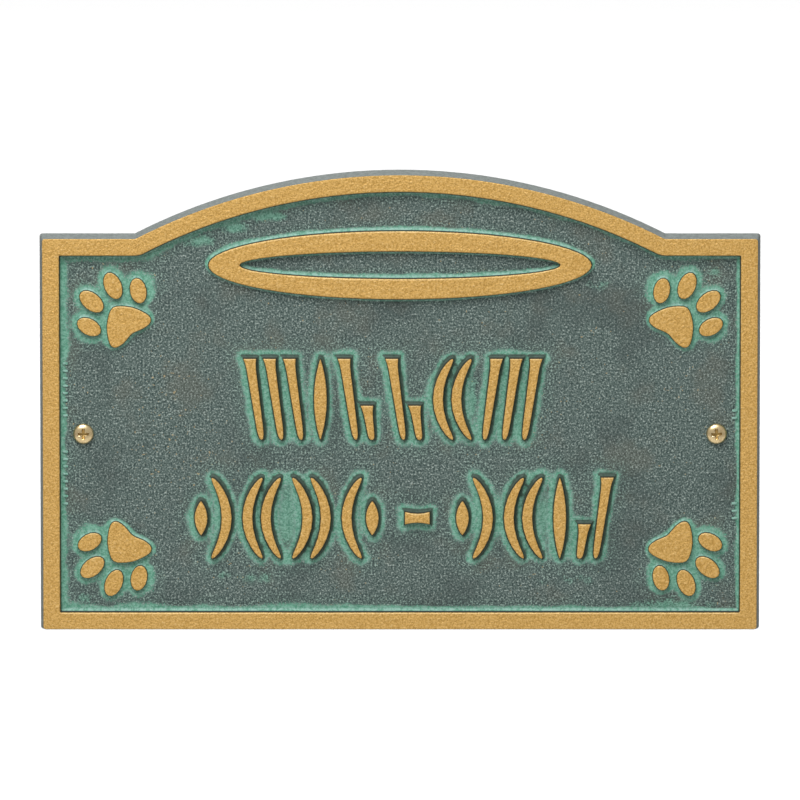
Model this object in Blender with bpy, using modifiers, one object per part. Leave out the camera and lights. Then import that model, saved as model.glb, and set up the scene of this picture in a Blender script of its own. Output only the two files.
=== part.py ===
"""Cast commemorative wall plaque with an arched top, held by two cross-recess screws.

Metres throughout. X runs to the right, Z up, and the front faces -Y. The flat back lies in the
plane Y = 0, and the origin is on it, midway between the two screws.
"""

import math

import bmesh
import bpy
from mathutils import Matrix

# Plate, measured along its back edges
PLATE_WIDTH = 0.3058
SHOULDER_HEIGHT = 0.1698
ARCH_WIDTH = 0.2249
ARCH_RISE = 0.0272
ARCH_JOIN_RADIUS = 0.0010
FIELD_THICKNESS = 0.0063

# Rim, and the lean of the outer sides from back to front
RIM_WIDTH = 0.0071
RIM_RELIEF = 0.0032
SIDE_LEAN = 0.0012

# Walls of everything raised lean by this much from square
DRAFT_ANGLE = math.radians(15.0)

# Halo ring: outside and inside of its flat top, and its middle below the top of the arch
RING_LENGTH = 0.1621
RING_HEIGHT = 0.0289
RING_HOLE_LENGTH = 0.1362
RING_HOLE_HEIGHT = 0.0120
RING_DROP = 0.0398
RING_RELIEF = 0.0025

# Paw prints: length along the paw's own axis, lean outwards, and place from the plate's edges
PAW_LENGTH = 0.0281
PAW_TURN = math.radians(36.5)
PAW_FROM_SIDE = 0.0362
PAW_FROM_SHOULDER = 0.0377
PAW_FROM_BOTTOM = 0.0371
PAW_RELIEF = 0.0018

# One half of a paw, as shares of its length: across and along for each toe, its half
# length and half width, and its lean in degrees
PAW_TOES = (
    (0.201, 0.568, 0.208, 0.125, 14.0),
    (0.463, 0.281, 0.190, 0.120, 25.0),
)
PAW_PAD = (
    (0.000, 0.298),
    (0.110, 0.246),
    (0.235, 0.130),
    (0.318, -0.005),
    (0.361, -0.115),
    (0.352, -0.182),
    (0.298, -0.219),
    (0.185, -0.222),
    (0.075, -0.196),
    (0.000, -0.184),
)

# Two rows of raised strokes
ROW_HEIGHT = 0.0346
ROW_PITCH = 0.0509
UPPER_ROW_RISE = 0.0149
UPPER_ROW_SHIFT = -0.0030
LOWER_ROW_SHIFT = 0.0018
PLACE_GAP = 0.0048
DASH_GAP = 0.0114
UPPER_ROW = (("nails", 1), ("spindle", 1), ("steps", 1), ("steps", 1), ("bows", 1), ("nails", -1))
LOWER_ROW = (
    ("bow and spindle", 1),
    ("bows", 1),
    ("bows", -1),
    ("bow and spindle", -1),
    ("dash", 1),
    ("bow and spindle", 1),
    ("bows", 1),
    ("spindle", 1),
    ("steps", -1),
)
STROKE_RELIEF = 0.0028
STROKE_WIDTH = 0.0040
STROKE_END_WIDTH = 0.0024
NAIL_HEAD_WIDTH = 0.0053
NAIL_HEAD_HEIGHT = 0.0050
NAIL_LEAN = 0.0050
NAIL_PITCH = 0.0084
STEP_PITCH = 0.0068
BOW_DEPTH = 0.0062
BOW_PITCH = 0.0078
SPINDLE_WIDTH = 0.0052
DASH_LENGTH = 0.0103
DASH_HEIGHT = 0.0051
DASH_WAIST = 0.0036
SHORT_SHARE = 0.42

# Screws
SCREW_FROM_SIDE = 0.0185
HEAD_DIAMETER = 0.0087
HEAD_HEIGHT = 0.0024
HEAD_EDGE = 0.0009
THREAD_DIAMETER = 0.0042
ROOT_DIAMETER = 0.0030
THREAD_PITCH = 0.0018
SCREW_LENGTH = 0.0254
POINT_LENGTH = 0.0044
RECESS_WIDTH = 0.0050
RECESS_SLOT = 0.0012
RECESS_DEPTH = 0.0015
RECESS_FOOT_SHARE = 0.4
HOLE_CLEARANCE = 0.0003
SEAT_GAP = 0.0003

# How finely curves are cut, and how far solids run into each other before they are joined
ARCH_STEPS = 40
JOIN_STEPS = 5
RING_STEPS = 64
TOE_STEPS = 16
PAD_STEPS = 2
STROKE_STEPS = 12
TIP_POWER = 10
DASH_STEPS = 4
TURN_STEPS = 16
DOME_STEPS = 5
DOME_POWER = 0.7
HOLE_STEPS = 24
OVERLAP = 0.0010
SAME_POINT = 0.00002

# Worked out
RIM_TOP = FIELD_THICKNESS + RIM_RELIEF
DRAFT = math.tan(DRAFT_ANGLE)
HALF_SHOULDER = SHOULDER_HEIGHT / 2
ARCH_RADIUS = ((ARCH_WIDTH / 2) ** 2 + ARCH_RISE**2) / (2 * ARCH_RISE)
ARCH_CENTRE = HALF_SHOULDER + ARCH_RISE - ARCH_RADIUS
SCREW_X = PLATE_WIDTH / 2 - SCREW_FROM_SIDE
HOLE_RADIUS = THREAD_DIAMETER / 2 + HOLE_CLEARANCE


def clear_scene():
    for old in list(bpy.data.objects):
        bpy.data.objects.remove(old, do_unlink=True)


def collection(name):
    made = bpy.data.collections.new(name)
    bpy.context.scene.collection.children.link(made)
    return made


def material(name, colour, roughness, metallic):
    made = bpy.data.materials.new(name)
    made.use_nodes = True
    shader = made.node_tree.nodes["Principled BSDF"]
    shader.inputs["Base Color"].default_value = (*colour, 1.0)
    shader.inputs["Roughness"].default_value = roughness
    shader.inputs["Metallic"].default_value = metallic
    return made


def mesh_object(name, bm, group):
    bmesh.ops.recalc_face_normals(bm, faces=bm.faces)
    mesh = bpy.data.meshes.new(name)
    bm.to_mesh(mesh)
    bm.free()
    made = bpy.data.objects.new(name, mesh)
    group.objects.link(made)
    return made


def add_boolean(target, other, operation):
    step = target.modifiers.new(operation.title(), "BOOLEAN")
    step.operation = operation
    step.object = other
    step.solver = "EXACT"


def plate_outline(inset):
    """The plate's outline moved inwards by inset, anticlockwise as seen from the front."""
    side = PLATE_WIDTH / 2 - inset
    top = HALF_SHOULDER - inset
    radius = ARCH_RADIUS - inset
    # Small fillet between shoulder and arch: its middle lies outside the plate
    fillet = ARCH_JOIN_RADIUS + inset
    reach = ARCH_RADIUS + ARCH_JOIN_RADIUS
    fillet_z = HALF_SHOULDER + ARCH_JOIN_RADIUS
    spread = math.acos((fillet_z - ARCH_CENTRE) / reach)
    fillet_x = reach * math.sin(spread)
    points = [(-side, -top), (side, -top), (side, top)]
    for i in range(JOIN_STEPS + 1):
        turn = spread * i / JOIN_STEPS
        points.append((fillet_x - fillet * math.sin(turn), fillet_z - fillet * math.cos(turn)))
    for i in range(1, ARCH_STEPS):
        turn = spread * (1 - 2 * i / ARCH_STEPS)
        points.append((radius * math.sin(turn), ARCH_CENTRE + radius * math.cos(turn)))
    for i in range(JOIN_STEPS + 1):
        turn = spread * (1 - i / JOIN_STEPS)
        points.append((fillet * math.sin(turn) - fillet_x, fillet_z - fillet * math.cos(turn)))
    points.append((-side, top))
    return points


def ellipse(half_length, half_height, steps):
    turns = [math.pi / 2 + 2 * math.pi * i / steps for i in range(steps)]
    return [(half_length * math.cos(t), half_height * math.sin(t)) for t in turns]


def grown(points, amount):
    """A closed anticlockwise outline moved outwards along its normals."""
    moved = []
    for i, (x, z) in enumerate(points):
        before = points[i - 1]
        after = points[(i + 1) % len(points)]
        along = (after[0] - before[0], after[1] - before[1])
        size = math.hypot(*along)
        moved.append((x + amount * along[1] / size, z - amount * along[0] / size))
    return moved


def smooth_loop(points, steps):
    """A smooth closed curve through the points, steps pieces between each two."""
    count = len(points)
    curve = []
    for i in range(count):
        a, b, c, d = (points[(i + k) % count] for k in (-1, 0, 1, 2))
        for j in range(steps):
            t = j / steps
            curve.append(
                tuple(
                    b[n]
                    + t * (c[n] - a[n]) / 2
                    + t**2 * (2 * a[n] - 5 * b[n] + 4 * c[n] - d[n]) / 2
                    + t**3 * (3 * b[n] - a[n] - 3 * c[n] + d[n]) / 2
                    for n in (0, 1)
                )
            )
    return curve


def placed(points, x, z, turn=0.0):
    """Turns an outline anticlockwise by turn and moves it to x, z."""
    c = math.cos(turn)
    s = math.sin(turn)
    return [(x + c * u - s * v, z + s * u + c * v) for u, v in points]


def add_loop(bm, points, depth):
    verts = [bm.verts.new((x, -depth, z)) for x, z in points]
    return [bm.edges.new((a, b)) for a, b in zip(verts, verts[1:] + verts[:1])]


def add_tapered_block(bm, low_points, low_depth, high_points, high_depth):
    """A solid between two outlines of as many points, at two distances from the back."""
    low = add_loop(bm, low_points, low_depth)
    high = add_loop(bm, high_points, high_depth)
    bmesh.ops.bridge_loops(bm, edges=low + high)
    bmesh.ops.edgeloop_fill(bm, edges=low)
    bmesh.ops.edgeloop_fill(bm, edges=high)


def raise_form(bm, outline, relief):
    """Raises a form off the field; outline(grow) gives its top moved outwards by grow."""
    lean = DRAFT * (relief + OVERLAP)
    add_tapered_block(
        bm, outline(lean), FIELD_THICKNESS - OVERLAP, outline(0.0), FIELD_THICKNESS + relief
    )


def add_halo_ring(group):
    """The long oval ring under the arch, a raised block with a raised block's hole in it."""
    middle = ARCH_CENTRE + ARCH_RADIUS - RING_DROP
    bm = bmesh.new()
    raise_form(
        bm,
        lambda grow: placed(
            ellipse(RING_LENGTH / 2 + grow, RING_HEIGHT / 2 + grow, RING_STEPS), 0.0, middle
        ),
        RING_RELIEF,
    )
    ring = mesh_object("halo_ring", bm, group)

    def hole(depth):
        grow = DRAFT * (depth - FIELD_THICKNESS - RING_RELIEF)
        shape = ellipse(RING_HOLE_LENGTH / 2 + grow, RING_HOLE_HEIGHT / 2 + grow, RING_STEPS)
        return placed(shape, 0.0, middle)

    bm = bmesh.new()
    low = FIELD_THICKNESS - 2 * OVERLAP
    high = FIELD_THICKNESS + RING_RELIEF + OVERLAP
    add_tapered_block(bm, hole(low), low, hole(high), high)
    add_boolean(ring, mesh_object("ring_hole", bm, group), "DIFFERENCE")
    return ring


def toe_shape(toe, side, grow):
    across, along, half_length, half_width, lean = toe
    shape = ellipse(half_width * PAW_LENGTH + grow, half_length * PAW_LENGTH + grow, TOE_STEPS)
    return placed(
        shape, side * across * PAW_LENGTH, along * PAW_LENGTH, -side * math.radians(lean)
    )


def pad_shape(grow):
    mirrored = [(-x, z) for x, z in PAW_PAD[1:-1]]
    half = [(x, z) for x, z in reversed(PAW_PAD)]
    loop = smooth_loop(half + mirrored, PAD_STEPS)
    return grown([(x * PAW_LENGTH, z * PAW_LENGTH) for x, z in loop], grow)


def add_paw(bm, side, level):
    """A paw print in one corner: side and level are -1 or 1, and its toes point outwards."""
    x = side * (PLATE_WIDTH / 2 - PAW_FROM_SIDE)
    from_edge = PAW_FROM_SHOULDER if level > 0 else PAW_FROM_BOTTOM
    z = level * (HALF_SHOULDER - from_edge)

    def in_corner(points):
        turned = placed(points, 0.0, 0.0, -PAW_TURN)
        corner = [(x + side * u, z + level * v) for u, v in turned]
        return corner if side * level > 0 else corner[::-1]

    raise_form(bm, lambda grow: in_corner(pad_shape(grow)), PAW_RELIEF)
    for toe in PAW_TOES:
        for half in (-1, 1):
            raise_form(
                bm, lambda grow: in_corner(toe_shape(toe, half, grow)), PAW_RELIEF
            )


def stroke(centre, half_width, half_height):
    """An upright stroke: centre(s) and half_width(s) at each height s from -1 to 1."""
    heights = [-math.cos(math.pi * i / STROKE_STEPS) for i in range(STROKE_STEPS + 1)]
    right = [(centre(s) + half_width(s), s * half_height) for s in heights]
    left = [(centre(s) - half_width(s), s * half_height) for s in reversed(heights)]
    points = []
    for point in right + left:
        # The two sides share one point at a closed tip
        if not points or math.dist(point, points[-1]) > SAME_POINT:
            points.append(point)
    if math.dist(points[0], points[-1]) < SAME_POINT:
        points.pop()
    return points


def round_end(s):
    """Closes a stroke's width in a round tip towards s = -1 and s = 1."""
    return math.sqrt(max(0.0, 1 - abs(s) ** TIP_POWER))


def nail(share, turn, grow):
    """A leaning stroke with a broad flat head, narrowing to a round foot."""
    foot = STROKE_END_WIDTH / 2
    shaft = STROKE_WIDTH / 2
    head = NAIL_HEAD_WIDTH / 2
    half_height = share * ROW_HEIGHT / 2

    def half_width(s):
        rise = (s + 1) / 2
        flare = max(0.0, 1 - (1 - s) * half_height / NAIL_HEAD_HEIGHT) ** 2
        width = foot + (shaft - foot) * rise + (head - shaft) * flare + grow
        return width * (round_end(s) if s < 0 else 1.0)

    return stroke(lambda s: -turn * s * share * NAIL_LEAN / 2, half_width, half_height + grow)


def bow(turn, grow):
    """A crescent, thick in the middle, that bulges to the left when turn is 1."""
    end = STROKE_END_WIDTH / 2
    middle = STROKE_WIDTH / 2

    def half_width(s):
        return (end + (middle - end) * (1 - s * s) + grow) * round_end(s)

    return stroke(
        lambda s: turn * BOW_DEPTH * (s * s - 0.5), half_width, ROW_HEIGHT / 2 + grow
    )


def spindle(share, grow):
    """An upright stroke that narrows to a point at both ends."""

    def half_width(s):
        return SPINDLE_WIDTH / 2 * (1 - s * s) + grow * round_end(s)

    return stroke(lambda s: 0.0, half_width, share * ROW_HEIGHT / 2 + grow)


def dash(grow):
    """A short level bar with flared ends."""
    spots = [2 * i / DASH_STEPS - 1 for i in range(DASH_STEPS + 1)]
    below = []
    for s in spots:
        height = DASH_WAIST + (DASH_HEIGHT - DASH_WAIST) * s * s
        below.append((s * (DASH_LENGTH / 2 + grow), -height / 2 - grow))
    return below + [(-x, -z) for x, z in below]


def place_strokes(kind, turn):
    """The strokes of one place in a row: outline by grow, then x and z of its middle."""
    low = (SHORT_SHARE - 1) / 2 * ROW_HEIGHT
    if kind == "nails":
        return [(lambda g: nail(1.0, turn, g), k * NAIL_PITCH, 0.0) for k in (-1, 0, 1)]
    if kind == "steps":
        beside = turn * (STEP_PITCH + (1 - SHORT_SHARE) / 2 * NAIL_LEAN)
        return [
            (lambda g: nail(1.0, turn, g), 0.0, 0.0),
            (lambda g: nail(SHORT_SHARE, turn, g), beside, low),
        ]
    if kind == "bows":
        return [(lambda g: bow(turn, g), k * BOW_PITCH, 0.0) for k in (0, 1)]
    if kind == "bow and spindle":
        return [
            (lambda g: bow(-turn, g), 0.0, 0.0),
            (lambda g: spindle(SHORT_SHARE, g), -turn * BOW_PITCH, 0.0),
        ]
    if kind == "spindle":
        return [(lambda g: spindle(1.0, g), 0.0, 0.0)]
    return [(dash, 0.0, 0.0)]


def add_row(bm, row, shift, level):
    """One row of places, centred on the plate but for its shift to the right."""
    places = []
    cursor = 0.0
    for kind, turn in row:
        strokes = place_strokes(kind, turn)
        spans = [x + u for outline, x, z in strokes for u, v in outline(0.0)]
        gap = DASH_GAP if "dash" in (kind, places and places[-1][0]) else PLACE_GAP
        start = cursor + gap if places else 0.0
        places.append((kind, strokes, start - min(spans)))
        cursor = start + max(spans) - min(spans)
    for kind, strokes, start in places:
        for outline, x, z in strokes:
            across = shift - cursor / 2 + start + x
            raise_form(
                bm,
                lambda grow, o=outline, u=across, v=level + z: placed(o(grow), u, v),
                STROKE_RELIEF,
            )


def add_raised_forms(group):
    """The paw prints and the rows of strokes."""
    bm = bmesh.new()
    for side in (-1, 1):
        for level in (-1, 1):
            add_paw(bm, side, level)
    add_row(bm, UPPER_ROW, UPPER_ROW_SHIFT, UPPER_ROW_RISE)
    add_row(bm, LOWER_ROW, LOWER_ROW_SHIFT, UPPER_ROW_RISE - ROW_PITCH)
    return mesh_object("raised_forms", bm, group)


def add_pocket(group):
    """The sunk field inside the rim."""
    bm = bmesh.new()
    inset = SIDE_LEAN + RIM_WIDTH
    add_tapered_block(
        bm,
        plate_outline(inset + DRAFT * RIM_RELIEF),
        FIELD_THICKNESS,
        plate_outline(inset - DRAFT * OVERLAP),
        RIM_TOP + OVERLAP,
    )
    return mesh_object("field_pocket", bm, group)


def add_holes(group):
    bm = bmesh.new()
    for side in (-1, 1):
        made = bmesh.ops.create_cone(
            bm,
            cap_ends=True,
            segments=HOLE_STEPS,
            radius1=HOLE_RADIUS,
            radius2=HOLE_RADIUS,
            depth=2 * RIM_TOP,
        )
        bmesh.ops.rotate(bm, verts=made["verts"], matrix=Matrix.Rotation(math.pi / 2, 3, "X"))
        bmesh.ops.translate(bm, verts=made["verts"], vec=(side * SCREW_X, 0.0, 0.0))
    return mesh_object("screw_holes", bm, group)


def add_plaque(group, cutters, coat):
    bm = bmesh.new()
    add_tapered_block(bm, plate_outline(0.0), 0.0, plate_outline(SIDE_LEAN), RIM_TOP)
    plaque = mesh_object("plaque", bm, group)
    plaque.data.materials.append(coat)
    add_boolean(plaque, add_pocket(cutters), "DIFFERENCE")
    add_boolean(plaque, add_halo_ring(cutters), "UNION")
    add_boolean(plaque, add_raised_forms(cutters), "UNION")
    add_boolean(plaque, add_holes(cutters), "DIFFERENCE")


def screw_profile():
    """Half the screw's section, down its outer side; the head's seat is at Z = 0."""
    head = HEAD_DIAMETER / 2
    thread = THREAD_DIAMETER / 2
    root = ROOT_DIAMETER / 2
    neck = FIELD_THICKNESS + SEAT_GAP
    points = []
    for i in range(DOME_STEPS + 1):
        turn = math.pi / 2 * i / DOME_STEPS
        rise = (HEAD_HEIGHT - HEAD_EDGE) * max(0.0, math.cos(turn)) ** DOME_POWER
        points.append((head * math.sin(turn), HEAD_EDGE + rise))
    points += [(head, 0.0), (thread, 0.0), (thread, -neck)]
    turns = int((SCREW_LENGTH - POINT_LENGTH - neck) / THREAD_PITCH)
    for i in range(turns):
        top = -neck - i * THREAD_PITCH
        points.append((root, top - THREAD_PITCH / 3))
        points.append((thread, top - THREAD_PITCH))
    points.append((root, -neck - (turns + 1 / 3) * THREAD_PITCH))
    points.append((0.0, -SCREW_LENGTH))
    return points


def cross_outline(share):
    """The driver recess: a cross, scaled about its middle by share."""
    arm = RECESS_WIDTH / 2 * share
    slot = RECESS_SLOT / 2 * share
    quarter = [(-slot, -arm), (slot, -arm), (slot, -slot)]
    points = []
    for i in range(4):
        points += placed(quarter, 0.0, 0.0, i * math.pi / 2)
    return points


def add_recess(name, x, group):
    """The recess cutter of the screw at x."""
    top = FIELD_THICKNESS + SEAT_GAP + HEAD_HEIGHT
    taper = (1 - RECESS_FOOT_SHARE) / RECESS_DEPTH
    bm = bmesh.new()
    add_tapered_block(
        bm,
        placed(cross_outline(RECESS_FOOT_SHARE), x, 0.0),
        top - RECESS_DEPTH,
        placed(cross_outline(1 + taper * OVERLAP), x, 0.0),
        top + OVERLAP,
    )
    return mesh_object(name, bm, group)


def add_screw(name, x, group, cutters, brass):
    bm = bmesh.new()
    verts = [bm.verts.new((r, 0.0, z)) for r, z in screw_profile()]
    for a, b in zip(verts, verts[1:]):
        bm.edges.new((a, b))
    screw = mesh_object(name, bm, group)
    screw.data.materials.append(brass)
    screw.location = (x, -FIELD_THICKNESS - SEAT_GAP, 0.0)
    screw.rotation_euler = (math.pi / 2, 0.0, 0.0)
    turned = screw.modifiers.new("Turned", "SCREW")
    turned.axis = "Z"
    turned.steps = TURN_STEPS
    turned.render_steps = TURN_STEPS
    turned.use_merge_vertices = True
    turned.merge_threshold = SAME_POINT
    turned.use_smooth_shade = True
    add_boolean(screw, add_recess(name + "_recess", x, cutters), "DIFFERENCE")


def main():
    clear_scene()
    group = collection("commemorative_plaque")
    cutters = collection("cutters")
    coat = material("weathered_coat", (0.119, 0.156, 0.138), 0.7, 0.0)
    brass = material("pale_brass", (0.50, 0.36, 0.16), 0.3, 1.0)
    add_plaque(group, cutters, coat)
    add_screw("screw_left", -SCREW_X, group, cutters, brass)
    add_screw("screw_right", SCREW_X, group, cutters, brass)
    for cutter in cutters.objects:
        cutter.hide_render = True
        cutter.display_type = "WIRE"


main()
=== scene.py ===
import math

import bmesh
import bpy
from mathutils import Matrix, Vector, noise
from mathutils.bvhtree import BVHTree


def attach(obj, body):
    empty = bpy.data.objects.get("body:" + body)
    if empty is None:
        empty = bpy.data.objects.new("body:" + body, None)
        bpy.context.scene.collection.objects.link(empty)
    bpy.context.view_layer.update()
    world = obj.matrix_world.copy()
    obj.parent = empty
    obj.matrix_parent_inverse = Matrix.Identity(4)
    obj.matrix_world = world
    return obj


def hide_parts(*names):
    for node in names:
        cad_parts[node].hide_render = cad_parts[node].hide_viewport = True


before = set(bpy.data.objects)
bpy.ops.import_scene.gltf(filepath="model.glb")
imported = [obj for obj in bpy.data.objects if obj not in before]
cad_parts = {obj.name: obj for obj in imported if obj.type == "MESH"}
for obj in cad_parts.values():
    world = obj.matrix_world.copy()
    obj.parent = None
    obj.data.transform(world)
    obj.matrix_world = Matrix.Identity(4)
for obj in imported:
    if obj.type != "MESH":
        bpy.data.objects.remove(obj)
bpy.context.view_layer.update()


def toMesh(bm, name):
    mesh = bpy.data.meshes.new(name)
    bm.to_mesh(mesh)
    bm.free()
    mesh.shade_smooth()
    return mesh


def addPiece(mesh, node, material):
    piece = bpy.data.objects.new(node + "_visual", mesh)
    bpy.context.scene.collection.objects.link(piece)
    mesh.materials.clear()
    mesh.materials.append(material)
    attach(piece, "root")
    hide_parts(node)
    return piece


# Small helpers for materials: each returns the socket that the next one reads
def addNode(tree, kind, sockets, **settings):
    made = tree.nodes.new("ShaderNode" + kind)
    for name, value in settings.items():
        setattr(made, name, value)
    for key, value in sockets.items():
        if isinstance(value, bpy.types.NodeSocket):
            tree.links.new(value, made.inputs[key])
        else:
            made.inputs[key].default_value = value
    return made


def calc(tree, operation, a, b=0.0):
    return addNode(tree, "Math", {0: a, 1: b}, operation=operation).outputs[0]


def fade(tree, value, start, end, low=0.0, high=1.0):
    sockets = {0: value, 1: start, 2: end, 3: low, 4: high}
    return addNode(tree, "MapRange", sockets, interpolation_type="SMOOTHSTEP").outputs[0]


def blend(tree, share, a, b):
    a = a if isinstance(a, bpy.types.NodeSocket) else (*a, 1.0)
    b = b if isinstance(b, bpy.types.NodeSocket) else (*b, 1.0)
    return addNode(tree, "Mix", {0: share, 6: a, 7: b}, data_type="RGBA").outputs[2]


def grain(tree, place, size, detail=2.0, rough=0.5):
    sockets = {"Vector": place, "Scale": 1.0 / size, "Detail": detail, "Roughness": rough}
    return addNode(tree, "TexNoise", sockets).outputs[0]


def readValue(tree, name):
    return addNode(tree, "Attribute", {}, attribute_name=name).outputs["Fac"]


def newMaterial(name):
    material = bpy.data.materials.new(name)
    material.use_nodes = True
    tree = material.node_tree
    place = addNode(tree, "TexCoord", {}).outputs["Object"]
    return material, tree, tree.nodes["Principled BSDF"], place


# Plaque: the cast shape with its edges rounded, its surface a little uneven, and what the paint
# needs written on it point by point
plaqueLook = {
    "fieldDepth": 0.0063,  # the field in front of the flat back
    "cornerRound": 0.0012,
    "cornerSteps": 3,
    # rounding of top edges and of the cove at the foot, on the two bands and on small forms
    "bandTop": 0.00036,
    "bandFoot": 0.00080,
    "formTop": 0.00028,
    "formFoot": 0.00045,
    "roundSteps": {"bandFoot": 3, "formFoot": 2, "bandTop": 2, "formTop": 2},
    "sharpAngle": 35.0,  # degrees between faces from which an edge is rounded
    "room": 2.6,  # an edge with less room than this many times its rounding stays as it is
    "frontStep": 0.0020,  # spacing of the grid of cuts on the front, then all over
    "backStep": 0.0080,
    "hardAngle": 50.0,  # degrees between faces from which an edge is shaded hard
    "flatWeight": 90,  # how much the larger faces rule the shading
    # how far each form stands out of the field, and how far its verdigris reaches
    "reliefs": {"rim": 0.0032, "ring": 0.0025, "paw": 0.0018, "stroke": 0.0028},
    "reach": {"rim": 0.0018, "ring": 0.0010, "paw": 0.0023, "stroke": 0.0026},
    # how much further verdigris lies above a form than beside it, and how unevenly
    "above": {"rim": 0.1, "ring": 0.4, "paw": 0.1, "stroke": 0.0},
    "drift": {"rim": 0.7, "ring": 0.3, "paw": 0.35, "stroke": 0.35},
    "driftSize": 0.014,
    "leftMore": 2.4,  # share by which the rim's verdigris is wider for each metre to the left
    "overReach": 0.0024,  # right above and below a form, as far as this
    # how clearly the verdigris ends in a pale line
    "paleLine": {"rim": 0.15, "ring": 0.15, "paw": 0.15, "stroke": 0.8},
    # the middle of a paw in any corner, the level that they mirror about, a paw's half size,
    # and the way from its toes to the inner side of its pad
    "pawMiddle": (0.1167, 0.0477),
    "pawLevel": -0.00005,
    "pawSize": 0.0140,
    "pawWay": (0.594, 0.804),
    "pawBare": 1.4,  # how much less verdigris the pad's inner side has
    "pawGap": 0.75,  # in half sizes: the gaps to the toes lie this far back from the middle
    "pawGapShare": 0.72,  # distances count for less there, so all of it is green
    # dark paint at the feet of the strokes, and painted shade on their right: its least share,
    # how fast it grows towards the top and the right, its reach, how much further it goes above
    # a stroke, and how high up the walls
    "darkAndShadeLeast": 0.30,
    "darkAndShadeTurn": 1.3,
    "darkAndShadeReach": 0.0010,
    "darkAndShadeAbove": 0.0006,
    "darkAndShadeTop": 0.0020,
    # the cast surface: a broad swell and small dents
    "swell": 0.00004,
    "swellSize": 0.026,
    "dent": 0.000018,
    "dentSize": 0.0042,
    # places where verdigris spreads into the field: middle, half width, half height, strength
    "blooms": [
        (-0.0560, 0.0932, 0.014, 0.0042, 1.2),
        (-0.0700, 0.0882, 0.012, 0.0042, 0.9),
        (-0.0850, 0.0825, 0.012, 0.0042, 1.0),
        (0.1330, 0.0690, 0.009, 0.0050, 0.7),
        (-0.1330, 0.0620, 0.011, 0.0100, 0.5),
        (-0.1350, -0.0710, 0.010, 0.0050, 0.6),
        (0.0830, 0.0640, 0.010, 0.0060, 0.5),
        (0.1150, -0.0735, 0.034, 0.0050, 0.8),
        (-0.0650, -0.0620, 0.030, 0.0060, 0.55),
        (0.0680, -0.0625, 0.026, 0.0050, 0.5),
        (-0.0479, -0.0360, 0.0055, 0.0170, 1.6),
        (0.0605, -0.0360, 0.0045, 0.0150, 1.4),
        (0.0300, 0.0149, 0.0045, 0.0150, 1.2),
    ],
    # places where more flecks of gold paint lie on the field, written in the same way
    "fleckPlaces": [
        (-0.1080, -0.0080, 0.024, 0.018, 1.0),
        (-0.0850, -0.0150, 0.060, 0.040, 0.6),
        (0.0850, 0.0480, 0.030, 0.022, 0.6),
    ],
    "tickLength": 0.0023,
    "tickHeight": 0.0010,
    "tickRelief": 0.0005,
    "tickPitch": 0.00318,
    "tickRound": 0.00025,
    "tickEase": 0.2,  # green all over, and pale
    "tickOver": 1.6,
    # guide ticks beside the rim: x of their middle, z of the topmost, how many
    "ticks": [
        (-0.1421, 0.0300, 8),
        (-0.1421, -0.0078, 8),
        (0.1421, 0.0098, 2),
        (0.1421, -0.0300, 3),
    ],
}

# How the code tells the casting's surfaces apart. y is 0 at the flat back and negative in
# front of it
plaqueMarks = {
    "mergeWithin": 0.000004,
    "flatAngle": 0.3,  # degrees between faces that become one
    "wallLean": 0.7,  # a face is a wall where its normal's y is less than this
    "formWallFrom": -0.005,  # walls of raised forms lie wholly in front of this
    "plateWallTo": -0.001,  # the plate's own sides reach behind this
    "frontFrom": -0.0055,  # the field and all that stands on it lie in front of this
    "rimTopFrom": -0.0094,  # only the top of the rim lies in front of this
    "rimWidth": 0.25,  # a form wider than this is the rim, and else the ring from the next
    "ringWidth": 0.10,
    "pawFrom": 0.095,  # a small form is a paw's where its middle is further out than this
    "cornerFrom": 0.150,  # the plate's corners are further out than this and deeper than this
    "cornerDeep": 0.005,
    "levelWithin": 0.00001,
    "lookRise": 0.0001,  # a look for room starts this far off the surface and off the edge
    "lookStart": 0.00006,
    "onWall": 0.00001,  # a point nearer than this to a wall has no way up or across from it
    "foldLean": 0.2,  # a face on the front that looks back by more than this is folded
    "foldRounds": 8,
    "gridReach": (0.153, 0.113),
    "gridShift": 0.37,  # share of a step, so that no cut runs along the form's own lines
    "cutWithin": 0.00002,
    "tinyEdge": 0.00003,
    "gapSides": 6,  # small gaps are closed, and those with more edges stay
    "fieldBack": -0.001,  # measured from the field: what lies further back gets no verdigris
    "noEase": 9.0,
    "sideUp": 0.001,  # the rim's outer edge is higher than this and this near the plate's side
    "sideWithin": 0.00002,
    "tickBand": (0.0002, 0.0006),  # a point this high and this far from any wall is a tick's
    "tickAway": 0.0006,
}


def plaqueCopy():
    bm = bmesh.new()
    bm.from_mesh(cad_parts["plaque"].data)
    bmesh.ops.remove_doubles(bm, verts=bm.verts, dist=plaqueMarks["mergeWithin"])
    flat = math.radians(plaqueMarks["flatAngle"])
    bmesh.ops.dissolve_limit(bm, angle_limit=flat, verts=bm.verts, edges=bm.edges)
    return bm


def isWall(face):
    return abs(face.normal.y) < plaqueMarks["wallLean"]


def rearmost(part):
    return max(v.co.y for v in part.verts)


def innerWalls(bm):
    # Walls of raised forms, grouped by form; the plate's own sides and holes reach the back
    limit = plaqueMarks["formWallFrom"]
    walls = [f for f in bm.faces if isWall(f) and rearmost(f) < limit]
    grouped = set()
    groups = []
    for wall in walls:
        if wall in grouped:
            continue
        group = [wall]
        grouped.add(wall)
        for face in group:
            around = [f for e in face.edges for f in e.link_faces]
            for other in around:
                if isWall(other) and rearmost(other) < limit and other not in grouped:
                    grouped.add(other)
                    group.append(other)
        groups.append(group)
    return groups


def formKind(group):
    xs = [v.co.x for f in group for v in f.verts]
    width = max(xs) - min(xs)
    if width > plaqueMarks["rimWidth"]:
        return "rim"
    if width > plaqueMarks["ringWidth"]:
        return "ring"
    middle = abs(max(xs) + min(xs)) / 2
    return "paw" if middle > plaqueMarks["pawFrom"] else "stroke"


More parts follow.
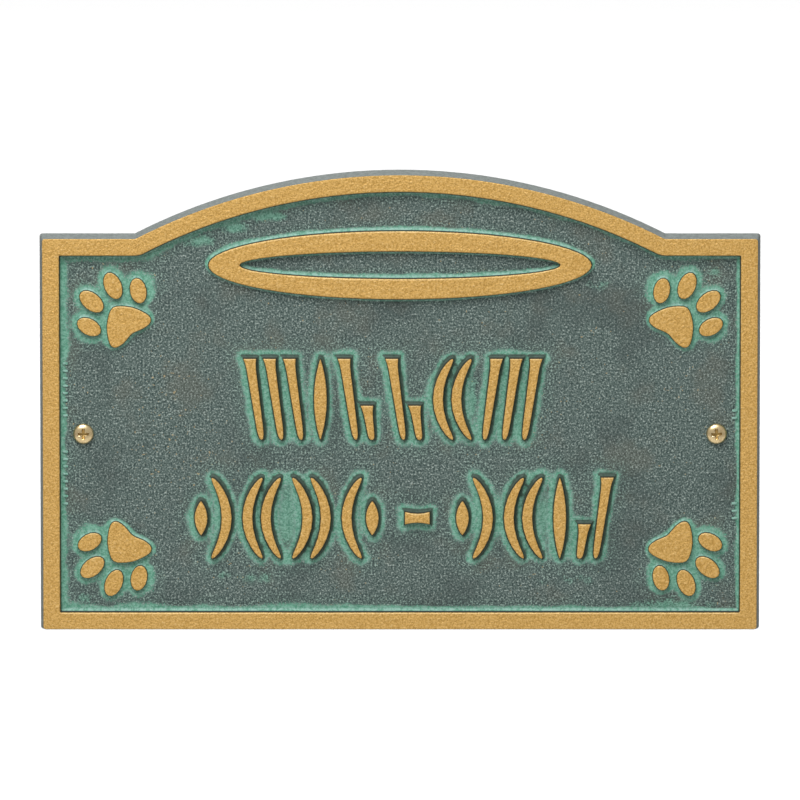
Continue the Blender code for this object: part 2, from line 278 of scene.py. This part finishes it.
def treeOf(faces):
    points = []
    polygons = []
    for face in faces:
        polygons.append([len(points) + i for i in range(len(face.verts))])
        points.extend(v.co.copy() for v in face.verts)
    return BVHTree.FromPolygons(points, polygons)


def wallTrees(bm):
    walls = {}
    for group in innerWalls(bm):
        walls.setdefault(formKind(group), []).extend(group)
    for kind, found in walls.items():
        print("plaque:", len(found), "wall faces on", kind)
    return {kind: treeOf(found) for kind, found in walls.items()}


def sideTree(bm):
    # The plate's outer sides, with their corners already rounded
    limit = plaqueMarks["plateWallTo"]
    return treeOf([f for f in bm.faces if isWall(f) and rearmost(f) > limit])


def isFoot(edge):
    face = plaqueLook["fieldDepth"]
    return all(abs(v.co.y + face) < plaqueMarks["levelWithin"] for v in edge.verts)


def hasRoom(edge, tree, offset):
    # Looks across the field or across the top of the form for the next wall
    walls = [f for f in edge.link_faces if isWall(f)]
    if len(walls) != 1:
        return True
    out = Vector((walls[0].normal.x, 0.0, walls[0].normal.z)).normalized()
    start = (edge.verts[0].co + edge.verts[1].co) / 2
    rise = plaqueMarks["lookRise"]
    start = start + Vector((0.0, -rise if isFoot(edge) else rise, 0.0))
    out = out if isFoot(edge) else -out
    start = start + out * plaqueMarks["lookStart"]
    hit = tree.ray_cast(start, out, offset * plaqueLook["room"])
    return hit[0] is None


def roundEdges(bm, edges, offset, steps):
    bmesh.ops.bevel(
        bm,
        geom=edges,
        offset=offset,
        offset_type="OFFSET",
        segments=steps,
        profile=0.5,
        affect="EDGES",
        clamp_overlap=False,
        loop_slide=False,
        material=-1,
    )


def isSharp(edge):
    limit = math.radians(plaqueLook["sharpAngle"])
    return len(edge.link_faces) == 2 and edge.calc_face_angle(0.0) > limit


def mendFolds(bm):
    # Where an edge's rounding is wider than a tip, the few folded faces are drawn together
    for turn in range(plaqueMarks["foldRounds"]):
        bm.normal_update()
        short = []
        for face in bm.faces:
            folded = face.normal.y > plaqueMarks["foldLean"]
            if folded and rearmost(face) < plaqueMarks["frontFrom"]:
                edge = min(face.edges, key=lambda e: e.calc_length())
                if edge not in short:
                    short.append(edge)
        if not short:
            break
        bmesh.ops.collapse(bm, edges=short, uvs=False)
        loose = [e for e in bm.edges if not e.link_faces]
        bmesh.ops.delete(bm, geom=loose, context="EDGES")
    print("plaque:", len(short), "folded faces left")


def roundSome(bm, name, test):
    tree = BVHTree.FromBMesh(bm)
    offset = plaqueLook[name]
    edges = [e for e in bm.edges if isSharp(e) and test(e) and hasRoom(e, tree, offset)]
    roundEdges(bm, edges, offset, plaqueLook["roundSteps"][name])
    print("plaque:", len(edges), "edges rounded as", name)


def roundPlaque(bm):
    corners = []
    for edge in bm.edges:
        a, b = (v.co for v in edge.verts)
        atSide = min(abs(a.x), abs(b.x)) > plaqueMarks["cornerFrom"]
        deep = abs(a.y - b.y) > plaqueMarks["cornerDeep"]
        if atSide and deep and isSharp(edge):
            corners.append(edge)
    roundEdges(bm, corners, plaqueLook["cornerRound"], plaqueLook["cornerSteps"])
    bands = set()
    for group in innerWalls(bm):
        if formKind(group) in ("rim", "ring"):
            bands.update(v.co.copy().freeze() for f in group for v in f.verts)

    def onBand(edge):
        spots = [v.co.copy().freeze() for v in edge.verts]
        onRim = min(v.co.y for v in edge.verts) < plaqueMarks["rimTopFrom"]
        return onRim or all(spot in bands for spot in spots)

    def onTop(edge):
        return rearmost(edge) < plaqueMarks["frontFrom"] and not isFoot(edge)

    roundSome(bm, "bandFoot", lambda e: isFoot(e) and onBand(e))
    roundSome(bm, "formFoot", lambda e: isFoot(e) and not onBand(e))
    roundSome(bm, "bandTop", lambda e: onTop(e) and onBand(e))
    roundSome(bm, "formTop", lambda e: onTop(e) and not onBand(e))
    mendFolds(bm)


def addTicks(bm):
    # Small bars, half sunk into the field
    face = -plaqueLook["fieldDepth"]
    depth = 2 * plaqueLook["tickRelief"]
    size = (plaqueLook["tickLength"], depth, plaqueLook["tickHeight"])
    for x, top, count in plaqueLook["ticks"]:
        for i in range(count):
            made = bmesh.ops.create_cube(bm, size=1.0)
            bmesh.ops.scale(bm, verts=made["verts"], vec=size)
            place = (x, face, top - i * plaqueLook["tickPitch"])
            bmesh.ops.translate(bm, verts=made["verts"], vec=place)
            edges = list(dict.fromkeys(e for v in made["verts"] for e in v.link_edges))
            roundEdges(bm, edges, plaqueLook["tickRound"], 2)


def cutGrid(bm, step, test):
    # Cuts the faces that pass the test along a grid seen from the front
    for axis, reach in zip((0, 2), plaqueMarks["gridReach"]):
        normal = Vector((1.0, 0.0, 0.0)) if axis == 0 else Vector((0.0, 0.0, 1.0))
        count = int(reach / step)
        for i in range(-count, count + 1):
            level = (i + plaqueMarks["gridShift"]) * step
            faces = []
            for face in bm.faces:
                if test(face):
                    spots = [v.co[axis] for v in face.verts]
                    if min(spots) < level < max(spots):
                        faces.append(face)
            edges = dict.fromkeys(e for f in faces for e in f.edges)
            verts = dict.fromkeys(v for f in faces for v in f.verts)
            bmesh.ops.bisect_plane(
                bm,
                geom=faces + list(edges) + list(verts),
                dist=plaqueMarks["cutWithin"],
                plane_co=normal * level,
                plane_no=normal,
            )


def refine(bm):
    cutGrid(bm, plaqueLook["backStep"], lambda f: True)
    cutGrid(bm, plaqueLook["frontStep"], lambda f: f.normal.y < -plaqueMarks["wallLean"])
    bmesh.ops.dissolve_degenerate(bm, edges=bm.edges, dist=plaqueMarks["tinyEdge"])
    bmesh.ops.triangulate(bm, faces=bm.faces, quad_method="BEAUTY", ngon_method="BEAUTY")
    mendFolds(bm)
    gaps = [e for e in bm.edges if len(e.link_faces) == 1]
    filled = bmesh.ops.holes_fill(bm, edges=gaps, sides=plaqueMarks["gapSides"])
    bmesh.ops.triangulate(bm, faces=filled["faces"])
    print("plaque:", len(bm.faces), "triangles after the cuts,", len(gaps), "edges closed")


def pawShare(spot):
    # Less verdigris on the pad's inner side, and more between the pad and the toes
    x, z = plaqueLook["pawMiddle"]
    wayX, wayZ = plaqueLook["pawWay"]
    inX = x - abs(spot.x)
    inZ = z - abs(spot.z - plaqueLook["pawLevel"])
    along = (inX * wayX + inZ * wayZ) / plaqueLook["pawSize"]
    if -plaqueLook["pawGap"] < along < 0.0:
        return plaqueLook["pawGapShare"]
    return 1.0 + max(0.0, along) * plaqueLook["pawBare"]


def placeStrength(spot, places):
    # A place has its full strength in the middle and none at its rim; the strongest counts
    found = 0.0
    for x, z, halfWidth, halfHeight, strength in places:
        far = math.hypot((spot.x - x) / halfWidth, (spot.z - z) / halfHeight)
        found = max(found, strength * max(0.0, 1 - far))
    return found


def writePaint(bm, trees, sides):
    # lift is 0 on the field and 1 on top of the nearest form; ease is the distance from its
    # foot as a share of how far the verdigris reaches; over is 1 right above a form and -1
    # right below it; bloom is where the verdigris spreads further; dark is dark paint and, on
    # the right, painted shade along the feet of the strokes, most of it above them and on their
    # right; line is how clearly the verdigris ends in a pale line; fleck is where more gold
    # flecks lie
    names = ("lift", "ease", "over", "bloom", "dark", "line", "fleck")
    layers = [bm.verts.layers.float.new(name) for name in names]
    lift, ease, over, bloom, dark, line, fleck = layers
    tickLow, tickHigh = plaqueMarks["tickBand"]
    for vert in bm.verts:
        height = -vert.co.y - plaqueLook["fieldDepth"]
        near = []
        for kind, tree in trees.items():
            found = tree.find_nearest(vert.co)
            spot, normal, away = found[0], found[1], found[3]
            apart = away > plaqueMarks["onWall"]
            rise = (vert.co.z - spot.z) / away if apart else normal.z
            across = (vert.co.x - spot.x) / away if apart else normal.x
            reach = plaqueLook["reach"][kind] * (1 + plaqueLook["above"][kind] * rise)
            drift = noise.noise(vert.co / plaqueLook["driftSize"]) * plaqueLook["drift"][kind]
            side = 1 - vert.co.x * plaqueLook["leftMore"] if kind == "rim" else 1.0
            near.append((away / (reach * side * (1 + drift)), away, rise, kind, across))
        share, away, rise, kind, across = min(near)
        nearest = min(near, key=lambda one: one[1])[3]
        if kind == "paw":
            share *= pawShare(vert.co)
        vert[lift] = height / plaqueLook["reliefs"][nearest]
        vert[ease] = share if height > plaqueMarks["fieldBack"] else plaqueMarks["noEase"]
        vert[line] = plaqueLook["paleLine"][kind]
        sideAway = sides.find_nearest(vert.co)[3]
        if height > plaqueMarks["sideUp"] and sideAway < plaqueMarks["sideWithin"]:
            vert[lift] = -1.0
        vert[over] = rise * max(0.0, 1 - away / plaqueLook["overReach"])
        # dark paint along the feet of the strokes, with painted shade on their right
        if kind == "stroke" and height < plaqueLook["darkAndShadeTop"]:
            least = plaqueLook["darkAndShadeLeast"]
            turned = max(0.0, min(1.0, max(rise, across) * plaqueLook["darkAndShadeTurn"]))
            reach = plaqueLook["darkAndShadeReach"] + plaqueLook["darkAndShadeAbove"] * max(0.0, rise)
            vert[dark] = (least + (1 - least) * turned) * max(0.0, 1 - away / reach)
        if tickLow < height < tickHigh and away > plaqueMarks["tickAway"]:
            vert[ease] = plaqueLook["tickEase"]
            vert[over] = plaqueLook["tickOver"]
        vert[bloom] = placeStrength(vert.co, plaqueLook["blooms"])
        vert[fleck] = placeStrength(vert.co, plaqueLook["fleckPlaces"])


def unsettle(bm):
    bm.normal_update()
    moves = []
    for vert in bm.verts:
        swell = noise.noise(vert.co / plaqueLook["swellSize"])
        dent = noise.noise(vert.co / plaqueLook["dentSize"])
        amount = swell * plaqueLook["swell"] + dent * plaqueLook["dent"]
        moves.append(vert.normal * amount)
    for vert, move in zip(bm.verts, moves):
        vert.co += move


# The casting's paint
plaquePaint = {
    "colours": {
        "gold": (0.505, 0.285, 0.063),
        "goldLight": (0.680, 0.412, 0.120),
        "goldPale": (0.830, 0.600, 0.280),
        "field": (0.028, 0.052, 0.048),
        "fieldMid": (0.104, 0.146, 0.132),
        "fieldLight": (0.400, 0.470, 0.430),
        "brown": (0.150, 0.125, 0.088),
        "dim": (0.040, 0.056, 0.054),
        "green": (0.100, 0.290, 0.200),
        "greenLight": (0.230, 0.475, 0.360),
        "greenPale": (0.290, 0.480, 0.410),
        "wall": (0.034, 0.040, 0.030),
        "side": (0.110, 0.126, 0.119),
        "sideLight": (0.160, 0.178, 0.170),
        "speck": (0.50, 0.38, 0.20),
    },
    # Noises in the paint: size of their patches, detail and roughness
    "grains": {
        "broad": (0.016, 3.0),
        "patchy": (0.0065, 3.0),
        "pebble": (0.0016, 2.0, 0.6),
        "fine": (0.00078, 2.0, 0.7),
        "wide": (0.038, 4.0, 0.6),
        "flecks": (0.0012, 1.0),
    },
    # Where each coat of paint starts and where it is full, in its noise or written value; where
    # four numbers stand, the last two are its strength at those two places
    "coats": {
        "fieldMid": (0.36, 0.52),
        "fieldLight": (0.53, 0.70),
        "brown": (0.50, 0.72, 0.0, 0.24),
        "dim": (0.50, 0.36, 0.0, 0.36),
        "specks": (0.755, 0.80, 0.0, 0.65),
        "strewnReach": (1.0, 4.0, 0.30, 0.0),
        "strewnGrain": (0.50, 0.64),
        "verdigris": (0.60, 1.15, 1.0, 0.0),
        "shadeBelowForms": (-0.75, -0.15, 0.55, 1.0),
        "blooms": (0.30, 0.80, 0.0, 0.75),
        "greenLight": (0.30, 0.72),
        "paleStart": (0.50, 0.80),
        "paleEnd": (0.85, 1.10, 1.0, 0.0),
        "litAbove": (0.45, 0.80),
        "paleGrain": (0.30, 0.65, 0.15, 1.0),
        "darkAndShade": (0.15, 0.60, 0.0, 0.85),
        "sideLight": (0.30, 0.70),
        "side": (-0.30, -0.12, 1.0, 0.0),
        "wall": (0.20, 0.40),
        "gold": (0.84, 0.90),
        "goldLight": (0.38, 0.56),
        "goldPale": (0.60, 0.74, 0.0, 0.7),
        "highlightUnderEdge": (-0.92, -0.70, 0.8, 0.0),
        "highlightGrain": (0.3, 0.5, 0.5, 1.0),
        "roughness": (0.0, 1.0, 0.80, 0.46),
        "grainDepth": (0.0, 1.0, 0.0007, 0.0009),
    },
    # How far a noise shifts the edge of a coat
    "ragged": {
        "specks": 0.35,
        "fleckPlaces": 0.09,
        "edgePatchy": 1.1,
        "edgeFine": 2.1,
        "bloomPatchy": 1.2,
        "bloomFine": 0.9,
        "mottle": 0.8,
        "goldEdge": 0.12,
    },
    "goldMetal": 0.25,
    "specular": 0.35,
    "pebbleShare": 0.55,
    "fineShare": 0.45,
}


def plaqueMaterial():
    material, tree, shader, place = newMaterial("weathered_casting")
    colours = plaquePaint["colours"]
    ragged = plaquePaint["ragged"]
    lift = readValue(tree, "lift")
    ease = readValue(tree, "ease")
    over = readValue(tree, "over")
    bloom = readValue(tree, "bloom")
    dark = readValue(tree, "dark")
    line = readValue(tree, "line")
    fleck = readValue(tree, "fleck")
    names = ("broad", "patchy", "pebble", "fine", "wide", "flecks")
    grains = [grain(tree, place, *plaquePaint["grains"][name]) for name in names]
    broad, patchy, pebble, fine, wide, flecks = grains

    def centred(value, amount):
        return calc(tree, "MULTIPLY", calc(tree, "SUBTRACT", value, 0.5), amount)

    def coat(value, name):
        return fade(tree, value, *plaquePaint["coats"][name])

    # Painted field, finely speckled dark and light
    field = blend(tree, coat(fine, "fieldMid"), colours["field"], colours["fieldMid"])
    field = blend(tree, coat(fine, "fieldLight"), field, colours["fieldLight"])
    field = blend(tree, coat(broad, "brown"), field, colours["brown"])
    field = blend(tree, coat(wide, "dim"), field, colours["dim"])
    specks = calc(tree, "ADD", flecks, centred(wide, ragged["specks"]))
    more = calc(tree, "MULTIPLY", fleck, ragged["fleckPlaces"])
    specks = calc(tree, "ADD", specks, more)
    field = blend(tree, coat(specks, "specks"), field, colours["speck"])
    strewn = calc(tree, "MULTIPLY", coat(ease, "strewnReach"), coat(fine, "strewnGrain"))
    field = blend(tree, strewn, field, colours["greenLight"])

    # Verdigris round the raised forms: ragged at its edge, palest along it, thin where it ends
    shift = centred(patchy, ragged["edgePatchy"])
    shift = calc(tree, "ADD", shift, centred(fine, ragged["edgeFine"]))
    edge = calc(tree, "ADD", ease, shift)
    cover = coat(edge, "verdigris")
    # painted shade: right below a form the verdigris thins, so the dark field shows there
    cover = calc(tree, "MULTIPLY", cover, coat(over, "shadeBelowForms"))
    streak = centred(patchy, ragged["bloomPatchy"])
    streak = calc(tree, "ADD", streak, centred(fine, ragged["bloomFine"]))
    streak = calc(tree, "ADD", bloom, streak)
    cover = calc(tree, "MAXIMUM", cover, coat(streak, "blooms"))
    mottle = calc(tree, "ADD", pebble, centred(fine, ragged["mottle"]))
    green = blend(tree, coat(mottle, "greenLight"), colours["green"], colours["greenLight"])
    pale = calc(tree, "MULTIPLY", coat(edge, "paleStart"), coat(edge, "paleEnd"))
    pale = calc(tree, "MULTIPLY", pale, line)
    # painted light: pale green right above a form, where the cove faces the light from above
    pale = calc(tree, "MAXIMUM", pale, coat(over, "litAbove"))
    pale = calc(tree, "MULTIPLY", pale, coat(mottle, "paleGrain"))
    green = blend(tree, pale, green, colours["greenPale"])
    base = blend(tree, cover, field, green)
    # dark paint at the feet of the strokes, with painted shade on their right
    base = blend(tree, coat(dark, "darkAndShade"), base, colours["wall"])

    # Grey sides and back, dark walls, gold tops. The walls' dark is partly their paint and
    # partly painted shade under the forms
    side = blend(tree, coat(pebble, "sideLight"), colours["side"], colours["sideLight"])
    base = blend(tree, coat(lift, "side"), base, side)
    # dark wall paint, which also stands for the painted shade on the walls under the forms
    base = blend(tree, coat(lift, "wall"), base, colours["wall"])
    topEdge = calc(tree, "ADD", lift, centred(fine, ragged["goldEdge"]))
    goldShare = coat(topEdge, "gold")
    gold = blend(tree, coat(fine, "goldLight"), colours["gold"], colours["goldLight"])
    gold = blend(tree, coat(fine, "goldPale"), gold, colours["goldPale"])
    # painted highlight: pale gold along the upper edges of the gold tops, where the rounding
    # catches the light
    edgeHighlight = calc(tree, "MULTIPLY", coat(over, "highlightUnderEdge"), coat(fine, "highlightGrain"))
    gold = blend(tree, edgeHighlight, gold, colours["goldPale"])
    base = blend(tree, goldShare, base, gold)

    metal = calc(tree, "MULTIPLY", goldShare, plaquePaint["goldMetal"])
    tree.links.new(base, shader.inputs["Base Color"])
    tree.links.new(metal, shader.inputs["Metallic"])
    tree.links.new(coat(goldShare, "roughness"), shader.inputs["Roughness"])
    shader.inputs["Specular IOR Level"].default_value = plaquePaint["specular"]

    # Sand-cast grain
    coarse = calc(tree, "MULTIPLY", pebble, plaquePaint["pebbleShare"])
    light = calc(tree, "MULTIPLY", fine, plaquePaint["fineShare"])
    height = calc(tree, "ADD", coarse, light)
    depth = coat(goldShare, "grainDepth")
    bump = addNode(tree, "Bump", {"Height": height, "Distance": depth, "Strength": 1.0})
    tree.links.new(bump.outputs[0], shader.inputs["Normal"])
    return material


def addPlaque():
    bm = plaqueCopy()
    trees = wallTrees(bm)
    roundPlaque(bm)
    sides = sideTree(bm)
    refine(bm)
    addTicks(bm)
    bm.normal_update()
    hard = math.radians(plaqueLook["hardAngle"])
    for edge in bm.edges:
        edge.smooth = edge.calc_face_angle(0.0) < hard
    writePaint(bm, trees, sides)
    unsettle(bm)
    piece = addPiece(toMesh(bm, "plaque_visual"), "plaque", plaqueMaterial())
    weighted = piece.modifiers.new("Weighted", "WEIGHTED_NORMAL")
    weighted.weight = plaqueLook["flatWeight"]
    weighted.keep_sharp = True
    print("plaque: done with", len(piece.data.polygons), "triangles")


# Screws: a pan head with a cross recess, a plain neck and a thread down to the point
screwLook = {
    "places": {"screw_left": -0.1344, "screw_right": 0.1344},
    "turned": {"screw_left": 0.0, "screw_right": 4.0},  # degrees
    "seat": 0.0066,  # the underside of the head, in front of the flat back
    # radius of the head, and its profile: share of that radius and height
    "head": 0.00440,
    "headProfile": [(0.0, 0.00240), (0.30, 0.00236), (0.55, 0.00220), (0.75, 0.00190),
                    (0.88, 0.00150), (0.96, 0.00105), (1.0, 0.00060), (0.985, 0.00015),
                    (0.93, 0.0)],
    "shank": 0.0021,  # radius outside the thread, then between its turns
    "root": 0.0015,
    "neck": 0.0066,
    "neckStep": 0.0004,
    "length": 0.0254,
    "point": 0.0044,
    "tip": 0.0012,  # the last steep part of the point, and its width as a share of the root
    "tipShare": 0.45,
    "pitch": 0.0018,
    "threadSink": 0.9,  # the thread starts inside the root, and fills this share of its pitch
    "threadFill": 0.6,
    "steps": 48,
    "threadSteps": 20,
    "recessWidth": 0.0056,
    "recessSlot": 0.0014,
    "recessDepth": 0.0010,
    "recessFoot": 0.72,  # width at the bottom as a share of the width at the top
    "recessReach": 0.45,  # in recess widths from the middle
    "recessTop": 0.0016,
    "mergeWithin": 0.000002,
}


def addSpun(bm, points, steps):
    verts = [bm.verts.new((r, 0.0, z)) for r, z in points]
    edges = [bm.edges.new(pair) for pair in zip(verts, verts[1:])]
    bmesh.ops.spin(
        bm,
        geom=verts + edges,
        cent=(0.0, 0.0, 0.0),
        axis=(0.0, 0.0, 1.0),
        angle=2 * math.pi,
        steps=steps,
        use_merge=True,
    )


def addThread(bm):
    root = screwLook["root"] * screwLook["threadSink"]
    half = screwLook["pitch"] / 2 * screwLook["threadFill"]
    start = -screwLook["neck"]
    turns = (screwLook["length"] - screwLook["neck"] - screwLook["point"]) / screwLook["pitch"]
    section = [(root, half), (screwLook["shank"], 0.0), (root, -half)]
    verts = [bm.verts.new((r, 0.0, start + z)) for r, z in section]
    edges = [bm.edges.new(pair) for pair in zip(verts, verts[1:] + verts[:1])]
    steps = int(turns * screwLook["threadSteps"])
    made = bmesh.ops.spin(
        bm,
        geom=verts + edges,
        cent=(0.0, 0.0, 0.0),
        axis=(0.0, 0.0, 1.0),
        dvec=(0.0, 0.0, -screwLook["pitch"] / screwLook["threadSteps"]),
        angle=2 * math.pi * steps / screwLook["threadSteps"],
        steps=steps,
        use_merge=False,
    )
    lastEdges = [e for e in made["geom_last"] if isinstance(e, bmesh.types.BMEdge)]
    bmesh.ops.edgeloop_fill(bm, edges=edges)
    bmesh.ops.edgeloop_fill(bm, edges=lastEdges)


def crossBlock():
    # A plus made of a square with its four sides pulled out, narrowing towards its foot
    bm = bmesh.new()
    slot = screwLook["recessSlot"]
    arm = (screwLook["recessWidth"] - slot) / 2
    bmesh.ops.create_cube(bm, size=slot)
    bmesh.ops.scale(bm, verts=bm.verts, vec=(1.0, 1.0, screwLook["recessDepth"] * 2 / slot))
    sides = [f for f in bm.faces if abs(f.normal.z) < 0.5]
    for side in sides:
        out = side.normal.copy()
        pulled = bmesh.ops.extrude_face_region(bm, geom=[side])
        verts = [v for v in pulled["geom"] if isinstance(v, bmesh.types.BMVert)]
        bmesh.ops.translate(bm, verts=verts, vec=out * arm)
        bmesh.ops.delete(bm, geom=[side], context="FACES")
    foot = [v for v in bm.verts if v.co.z < 0.0]
    share = screwLook["recessFoot"]
    bmesh.ops.scale(bm, verts=foot, vec=(share, share, 1.0))
    headTop = screwLook["headProfile"][0][1]
    bmesh.ops.translate(bm, verts=bm.verts, vec=(0.0, 0.0, headTop))
    bmesh.ops.recalc_face_normals(bm, faces=bm.faces)
    return toMesh(bm, "recess")


def screwMesh(name):
    bm = bmesh.new()
    head = [(share * screwLook["head"], z) for share, z in screwLook["headProfile"]]
    tip = -screwLook["length"]
    shank = [
        (screwLook["shank"], 0.0),
        (screwLook["shank"], -screwLook["neck"] + screwLook["neckStep"]),
        (screwLook["root"], -screwLook["neck"]),
        (screwLook["root"], tip + screwLook["point"]),
        (screwLook["root"] * screwLook["tipShare"], tip + screwLook["tip"]),
        (0.0, tip),
    ]
    addSpun(bm, head + shank, screwLook["steps"])
    bmesh.ops.remove_doubles(bm, verts=bm.verts, dist=screwLook["mergeWithin"])
    bmesh.ops.recalc_face_normals(bm, faces=bm.faces)
    body = bpy.data.objects.new(name + "_body", toMesh(bm, name + "_body"))
    cutter = bpy.data.objects.new(name + "_recess", crossBlock())
    for made in (body, cutter):
        bpy.context.scene.collection.objects.link(made)
    cut = body.modifiers.new("Recess", "BOOLEAN")
    cut.operation = "DIFFERENCE"
    cut.object = cutter
    cut.solver = "EXACT"
    ready = body.evaluated_get(bpy.context.evaluated_depsgraph_get())
    bm = bmesh.new()
    bm.from_mesh(ready.to_mesh())
    for made in (body, cutter):
        bpy.data.objects.remove(made)
    thread = bmesh.new()
    addThread(thread)
    bmesh.ops.recalc_face_normals(thread, faces=thread.faces)
    threadMesh = toMesh(thread, name + "_thread")
    bm.from_mesh(threadMesh)
    bpy.data.meshes.remove(threadMesh)
    turn = Matrix.Rotation(math.radians(90.0), 4, "X")
    spin = Matrix.Rotation(math.radians(screwLook["turned"][name]), 4, "Z")
    shift = Matrix.Translation((screwLook["places"][name], -screwLook["seat"], 0.0))
    # sunk is 1 inside the recess and 0 elsewhere
    sunk = bm.verts.layers.float.new("sunk")
    reach = screwLook["recessWidth"] * screwLook["recessReach"]
    for vert in bm.verts:
        inside = math.hypot(vert.co.x, vert.co.y) < reach
        vert[sunk] = 1.0 if inside and 0.0 < vert.co.z < screwLook["recessTop"] else 0.0
    bmesh.ops.transform(bm, matrix=shift @ turn @ spin, verts=bm.verts)
    return toMesh(bm, name + "_visual")


# Brass, tarnished in clouds, and a darker brown in the recess
brassLook = {
    "brass": (0.80, 0.62, 0.34),
    "tarnish": (0.36, 0.24, 0.10),
    "recessColour": (0.42, 0.27, 0.09),
    "cloudSize": 0.0016,
    "fineSize": 0.0005,
    "tarnishRange": (0.48, 0.75, 0.0, 0.5),
    "recessRange": (0.02, 0.45),
    "roughRange": (0.35, 0.75, 0.26, 0.42),
    "grainDepth": 0.00001,
}


def brassMaterial():
    material, tree, shader, place = newMaterial("pale_brass")
    cloud = grain(tree, place, brassLook["cloudSize"], 3.0)
    fine = grain(tree, place, brassLook["fineSize"], 2.0)
    share = fade(tree, cloud, *brassLook["tarnishRange"])
    colour = blend(tree, share, brassLook["brass"], brassLook["tarnish"])
    # a darker brown inside the recess
    sunk = fade(tree, readValue(tree, "sunk"), *brassLook["recessRange"])
    colour = blend(tree, sunk, colour, brassLook["recessColour"])
    tree.links.new(colour, shader.inputs["Base Color"])
    tree.links.new(fade(tree, cloud, *brassLook["roughRange"]), shader.inputs["Roughness"])
    shader.inputs["Metallic"].default_value = 1.0
    depth = brassLook["grainDepth"]
    bump = addNode(tree, "Bump", {"Height": fine, "Distance": depth, "Strength": 1.0})
    tree.links.new(bump.outputs[0], shader.inputs["Normal"])
    return material


def addScrews():
    brass = brassMaterial()
    for name in screwLook["places"]:
        piece = addPiece(screwMesh(name), name, brass)
        weighted = piece.modifiers.new("Weighted", "WEIGHTED_NORMAL")
        weighted.keep_sharp = True
        print(name, "done with", len(piece.data.polygons), "faces")


# Floor, light and camera
stageLook = {
    "floorHeight": -0.5,
    "floorHalf": 14.0,  # half the floor's width
    "floorRoughness": 0.9,
    "floorColour": (0.62, 0.62, 0.62),
    "sky": 0.50,
    "keyPlace": (-0.32, -0.72, 1.12),
    "keySize": 0.80,
    "keyPower": 18.2,
    "backPlace": (0.0, 4.0, 3.2),
    "backSize": (8.0, 7.5),
    "backPower": 245.0,
    "backSpread": 100.0,  # degrees
    "aim": (0.0, 0.0, 0.01348),
    "elevation": 8.0,
    "distance": 5.5,
    "frameWidth": 0.33992,  # what the picture's width spans at the plaque
    "sensor": 36.0,  # millimetres
    "viewEnd": 60.0,
}


def addLight(name, place, aim, size, power):
    light = bpy.data.lights.new(name, "AREA")
    light.shape = "RECTANGLE"
    light.size, light.size_y = size
    light.energy = power
    lamp = bpy.data.objects.new(name, light)
    lamp.location = place
    lamp.rotation_euler = (Vector(aim) - Vector(place)).to_track_quat("-Z", "Y").to_euler()
    bpy.context.scene.collection.objects.link(lamp)
    return light


def addStage():
    bm = bmesh.new()
    bmesh.ops.create_grid(bm, x_segments=2, y_segments=2, size=stageLook["floorHalf"])
    bmesh.ops.translate(bm, verts=bm.verts, vec=(0.0, 0.0, stageLook["floorHeight"]))
    floor = bpy.data.objects.new("floor", toMesh(bm, "floor"))
    bpy.context.scene.collection.objects.link(floor)
    material, tree, shader, place = newMaterial("pale_floor")
    shader.inputs["Base Color"].default_value = (*stageLook["floorColour"], 1.0)
    shader.inputs["Roughness"].default_value = stageLook["floorRoughness"]
    shader.inputs["Specular IOR Level"].default_value = 0.0
    floor.data.materials.append(material)

    world = bpy.data.worlds.new("studio")
    world.use_nodes = True
    sky = world.node_tree.nodes["Background"]
    sky.inputs["Color"].default_value = (1.0, 1.0, 1.0, 1.0)
    sky.inputs["Strength"].default_value = stageLook["sky"]
    bpy.context.scene.world = world
    size = stageLook["keySize"]
    place, power = stageLook["keyPlace"], stageLook["keyPower"]
    addLight("key", place, stageLook["aim"], (size, size), power)
    place, power = stageLook["backPlace"], stageLook["backPower"]
    below = (place[0], place[1], 0.0)
    backdrop = addLight("background", place, below, stageLook["backSize"], power)
    backdrop.spread = math.radians(stageLook["backSpread"])

    scene = bpy.context.scene
    scene.view_settings.view_transform = "Standard"
    camera = bpy.data.cameras.new("camera")
    camera.sensor_width = stageLook["sensor"]
    camera.lens = stageLook["sensor"] * stageLook["distance"] / stageLook["frameWidth"]
    camera.clip_end = stageLook["viewEnd"]
    eye = bpy.data.objects.new("camera", camera)
    tilt = math.radians(stageLook["elevation"])
    back = Vector((0.0, -math.cos(tilt), math.sin(tilt)))
    eye.location = Vector(stageLook["aim"]) + stageLook["distance"] * back
    eye.rotation_euler = (-back).to_track_quat("-Z", "Y").to_euler()
    scene.collection.objects.link(eye)
    scene.camera = eye


addPlaque()
addScrews()
addStage()
